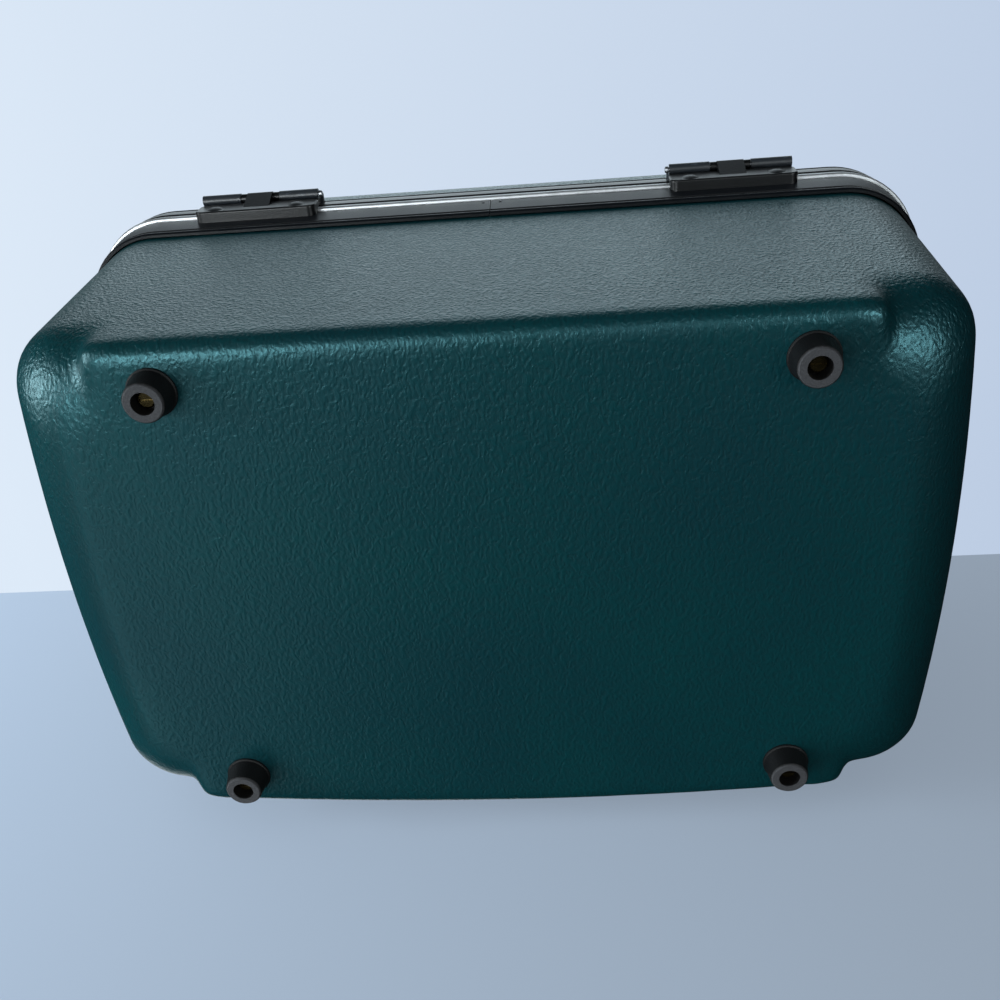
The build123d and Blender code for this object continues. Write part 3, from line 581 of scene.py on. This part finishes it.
def flocked(name, tint):
    shader = new_shader(name)
    fibres = shader.noise(FIBRE_SIZE, rough=0.7)
    nap = shader.noise(NAP_SIZE, detail=4.0, rough=0.6, warp=0.8)
    paint = shader.blend(nap, tint, toned(tint, 0.78))
    paint = shader.blend(fibres * 0.35, paint, toned(tint, 0.6))
    return shader.surface(
        Base_Color=paint, Roughness=0.85 + fibres * 0.1,
        Normal=shader.bump(fibres, FIBRE_DEPTH), Sheen_Weight=0.35)


def silvered(name, clean, smeared):
    shader = new_shader(name)
    smears = shader.noise(SMEAR_SIZE, detail=4.0, rough=0.6, warp=1.2)
    return shader.surface(
        Base_Color=shader.blend(smears, clean, smeared), Metallic=1.0,
        Roughness=0.02 + smears * 0.04, Normal=shader.bump(smears, SMEAR_DEPTH))


lining_finish = flocked("flocked_lining", colour(120, 150, 148))
tray_finish = rubbed_coat(
    "tray_plastic", colour(150, 168, 166), rough=0.46, grit_size=0.9 * MM, wear=0.02)
mirror_finish = silvered("silvered_mirror", colour(222, 228, 230), colour(206, 214, 218))
print("inside:", lining_finish.name, tray_finish.name, mirror_finish.name)

# %% [markdown]
# Each CAD part now gets one of these finishes. Its name is looked up in a table of single parts
# first, and otherwise in a table of how names begin, since left and right parts share a finish.
# Two tables are quicker to check than a chain of conditions.

# %% Give each CAD part its finish
PART_FINISH = {
    "base_shell": shell_finish, "lid_shell": shell_finish,
    "base_frame": trim_finish, "lid_frame": trim_finish, "mirror_frame": trim_finish,
    "metal_strip": strip_finish, "mirror_glass": mirror_finish, "handle": handle_finish,
    "base_lining": lining_finish, "lid_lining": lining_finish,
    "tray": tray_finish, "tray_rests": tray_finish,
    "foot_screws": shaded_brass_finish, "foot_nuts": steel_finish, "handle_screws": steel_finish,
    "latch_rivets": steel_finish, "keeper_rivets": steel_finish,
    "hinge_base_rivets": hinge_finish, "hinge_lid_rivets": hinge_finish,
    "hinge_spacers": hinge_finish,
}
GROUP_FINISH = {
    "foot_": rubber_finish, "hinge_base_leaf": hinge_finish, "hinge_lid_leaf": lid_leaf_finish,
    "hinge_pin": steel_finish, "latch_body": hinge_finish, "latch_button": steel_finish,
    "hasp_": steel_finish, "keeper_": hinge_finish, "lock_cylinder": steel_finish,
    "handle_post": hinge_finish, "handle_pin": steel_finish,
}


def finish_of(part):
    if part in PART_FINISH:
        return PART_FINISH[part]
    for start, finish in GROUP_FINISH.items():
        if part.startswith(start):
            return finish
    raise KeyError(part)


for part, piece in nodes.items():
    piece.data.materials.clear()
    piece.data.materials.append(finish_of(part))
print(len(nodes), "CAD parts have a finish")

# %% [markdown]
# Reshaping a part takes three small tools: one that picks a single piece, since an operator acts
# on all that is selected, one that adds a modifier and applies it at once, and one that copies a
# CAD part. A CAD part is made of loose triangles, so the copy has its doubled corners merged.


# %% Tools for a copy of a part
MERGE_REACH = 0.01 * MM


def make_active(piece):
    bpy.ops.object.select_all(action="DESELECT")
    piece.select_set(True)
    bpy.context.view_layer.objects.active = piece


def apply_modifier(piece, kind, **settings):
    modifier = piece.modifiers.new(kind.lower(), kind)
    for name, value in settings.items():
        setattr(modifier, name, value)
    make_active(piece)
    bpy.ops.object.modifier_apply(modifier=modifier.name)


def copy_part(part, name):
    """A copy of a CAD part as a piece of its own, with its loose triangles joined up."""
    piece = bpy.data.objects.new(name, nodes[part].data.copy())
    scene.collection.objects.link(piece)
    make_active(piece)
    bpy.ops.object.mode_set(mode="EDIT")
    bpy.ops.mesh.select_all(action="SELECT")
    bpy.ops.mesh.remove_doubles(threshold=MERGE_REACH)
    bpy.ops.object.mode_set(mode="OBJECT")
    return piece


# %% [markdown]
# The real moulding has no hard line where the crisp floor edge ends against the ball corner: the
# step is a soft hollow. A CAD fillet doesn't run round such a place, but a mesh does it easily. A
# copy of the CAD shell is remeshed into even little squares, which then relax towards their
# neighbours, strongly near the steps and along the crisp edges, and hardly elsewhere. Last, faces
# that the eye doesn't miss are taken out. The copy stands for the CAD shell.

# %% Soften the steps of the shells
CRISP_END = 133.5 * MM
STEP_HEIGHT = 45 * MM
SOFT_RINGS = ((14.0 * MM, 0.25), (10.0 * MM, 0.6), (7.0 * MM, 1.0))
EDGE_REACH = 16 * MM
FLAT_HALF_DEPTH = 80 * MM
EDGE_WEIGHT = 0.85
SHELL_VOXEL = 1.5 * MM
RELAX_PULL = 0.5
STEP_PASSES = 36
EVEN_PASSES = 3
KEPT_SHARE = 0.42


def step_weights(piece, floor):
    """Marks how strongly each place of a shell may relax."""
    steps = piece.vertex_groups.new(name="steps")
    for reach, weight in SOFT_RINGS:
        near = [v.index for v in piece.data.vertices
                if abs(abs(v.co.x) - CRISP_END) < reach
                and abs(v.co.z - floor) < STEP_HEIGHT + reach]
        steps.add(near, weight, "REPLACE")
    widest_ring = SOFT_RINGS[0][0]
    edge = [v.index for v in piece.data.vertices
            if abs(v.co.z - floor) < EDGE_REACH and abs(v.co.y) > FLAT_HALF_DEPTH
            and abs(v.co.x) < CRISP_END - widest_ring]
    steps.add(edge, EDGE_WEIGHT, "REPLACE")


def soft_shell(part, name, floor):
    """A shell whose steps are soft. The floor is the height of its flat outer face."""
    piece = copy_part(part, name)
    apply_modifier(piece, "REMESH", mode="VOXEL", voxel_size=SHELL_VOXEL)
    step_weights(piece, floor)
    apply_modifier(
        piece, "SMOOTH", factor=RELAX_PULL, iterations=STEP_PASSES, vertex_group="steps")
    apply_modifier(piece, "SMOOTH", factor=RELAX_PULL, iterations=EVEN_PASSES)
    apply_modifier(piece, "DECIMATE", ratio=KEPT_SHARE)
    bpy.ops.object.shade_smooth()
    piece.data.materials.clear()
    piece.data.materials.append(shell_finish)
    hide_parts(part)
    print(name, len(piece.data.polygons), "faces")
    return piece


BASE_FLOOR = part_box("base_shell")[0].z
LID_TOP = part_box("lid_shell")[1].z
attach(soft_shell("base_shell", "soft_base_shell", BASE_FLOOR), "base")
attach(soft_shell("lid_shell", "soft_lid_shell", LID_TOP), "lid")
